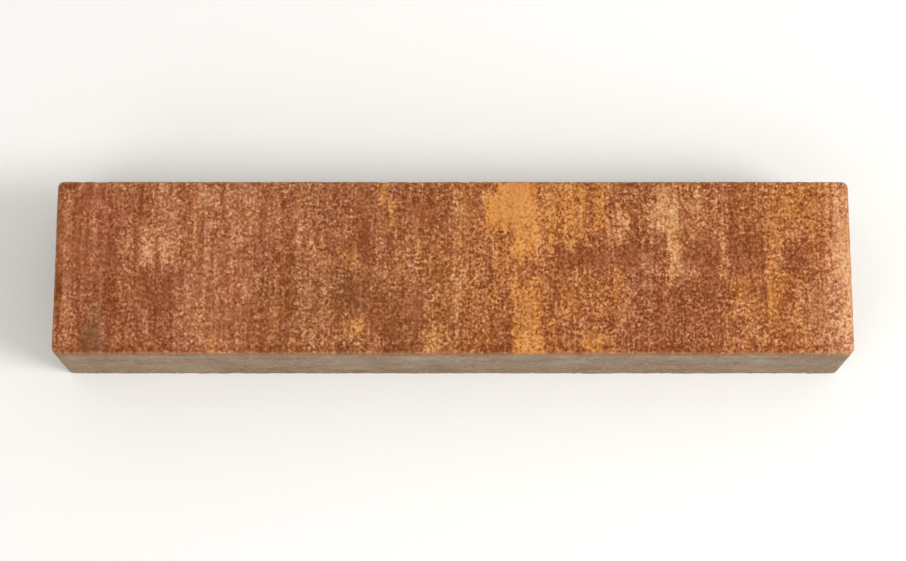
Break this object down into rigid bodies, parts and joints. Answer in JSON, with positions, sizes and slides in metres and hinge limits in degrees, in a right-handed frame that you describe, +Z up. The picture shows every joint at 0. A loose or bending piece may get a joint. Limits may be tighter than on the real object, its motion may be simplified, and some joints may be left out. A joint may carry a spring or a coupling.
{
  "type": "concrete paving stone",
  "caption": "Long rectangular concrete paving stone with a flat mottled red-brown, tan and orange wearing face, rounded arrises and plain grey sides.",
  "frame": {"origin": "middle of the bed face, which lies on the ground", "axes": "+X along the stone's length, +Y across its width, +Z up from the bed face to the wearing face"},
  "size_m": [0.6, 0.134, 0.08],
  "materials": {
    "concrete": "matt fine-grained pressed concrete, red-brown mottled with tan and orange on the wearing face, grey on the sides and bed"
  },
  "bodies": {
    "root": {"paving_stone": "concrete"}
  },
  "joints": []
}
